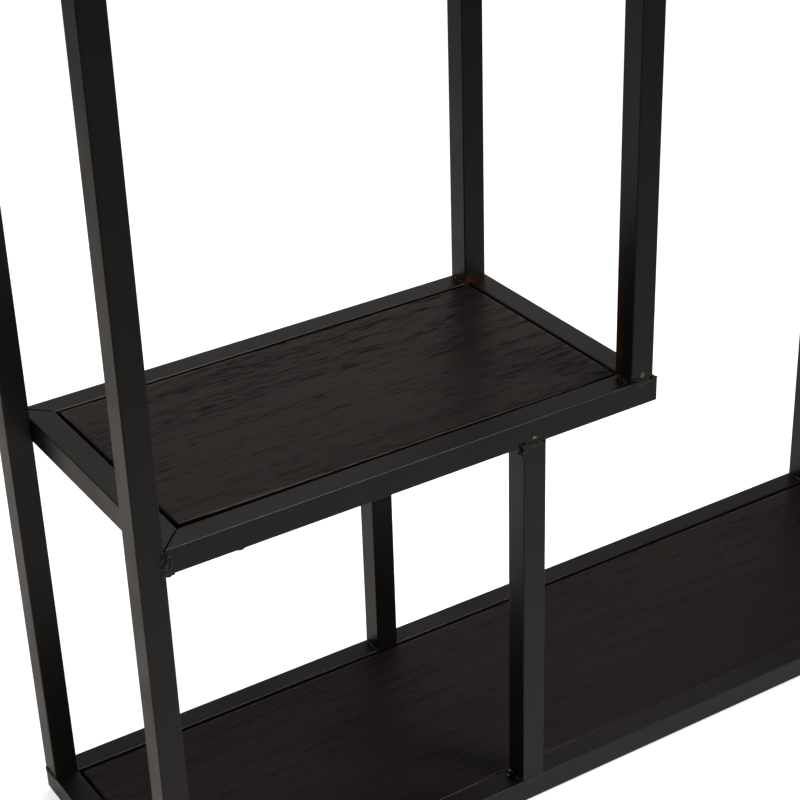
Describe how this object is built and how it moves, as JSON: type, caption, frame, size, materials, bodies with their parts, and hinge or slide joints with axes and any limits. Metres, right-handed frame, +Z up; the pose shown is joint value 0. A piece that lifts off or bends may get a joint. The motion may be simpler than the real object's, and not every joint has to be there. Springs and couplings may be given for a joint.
{
  "type": "zigzag bookshelf",
  "caption": "Tall free-standing open bookshelf: black square-tube steel frame with dark wood panels; half-width shelves reach in from left and right by turns on stepped short posts.",
  "frame": {"origin": "on the floor, below the middle of the bottom frame", "axes": "+X to the viewer's right along the shelf, +Y from the front to the back, +Z up"},
  "size_m": [0.828, 0.238, 1.709],
  "materials": {
    "black_steel": "satin",
    "stained_veneer": "satin open-pore stain",
    "felt": "felt"
  },
  "bodies": {
    "root": {"back_weld_beads": "black_steel", "bay_1_back_post": "black_steel", "bay_1_front_post": "black_steel", "bay_2_back_post": "black_steel", "bay_2_front_post": "black_steel", "bay_3_back_post": "black_steel", "bay_3_front_post": "black_steel", "bay_4_back_post": "black_steel", "bay_4_front_post": "black_steel", "bay_5_back_post": "black_steel", "bay_5_front_post": "black_steel", "bottom_shelf_back_rail": "black_steel", "bottom_shelf_front_rail": "black_steel", "bottom_shelf_left_rail": "black_steel", "bottom_shelf_lugs": "black_steel", "bottom_shelf_panel": "stained_veneer", "bottom_shelf_right_rail": "black_steel", "floor_pads": "felt", "front_weld_beads": "black_steel", "left_back_post": "black_steel", "left_front_post": "black_steel", "lower_left_shelf_back_rail": "black_steel", "lower_left_shelf_front_rail": "black_steel", "lower_left_shelf_left_rail": "black_steel", "lower_left_shelf_lugs": "black_steel", "lower_left_shelf_panel": "stained_veneer", "lower_left_shelf_right_rail": "black_steel", "lower_right_shelf_back_rail": "black_steel", "lower_right_shelf_front_rail": "black_steel", "lower_right_shelf_left_rail": "black_steel", "lower_right_shelf_lugs": "black_steel", "lower_right_shelf_panel": "stained_veneer", "lower_right_shelf_right_rail": "black_steel", "right_back_post": "black_steel", "right_front_post": "black_steel", "top_shelf_back_rail": "black_steel", "top_shelf_front_rail": "black_steel", "top_shelf_left_rail": "black_steel", "top_shelf_lugs": "black_steel", "top_shelf_panel": "stained_veneer", "top_shelf_right_rail": "black_steel", "upper_left_shelf_back_rail": "black_steel", "upper_left_shelf_front_rail": "black_steel", "upper_left_shelf_left_rail": "black_steel", "upper_left_shelf_lugs": "black_steel", "upper_left_shelf_panel": "stained_veneer", "upper_left_shelf_right_rail": "black_steel", "upper_right_shelf_back_rail": "black_steel", "upper_right_shelf_front_rail": "black_steel", "upper_right_shelf_left_rail": "black_steel", "upper_right_shelf_lugs": "black_steel", "upper_right_shelf_panel": "stained_veneer", "upper_right_shelf_right_rail": "black_steel"}
  },
  "joints": []
}
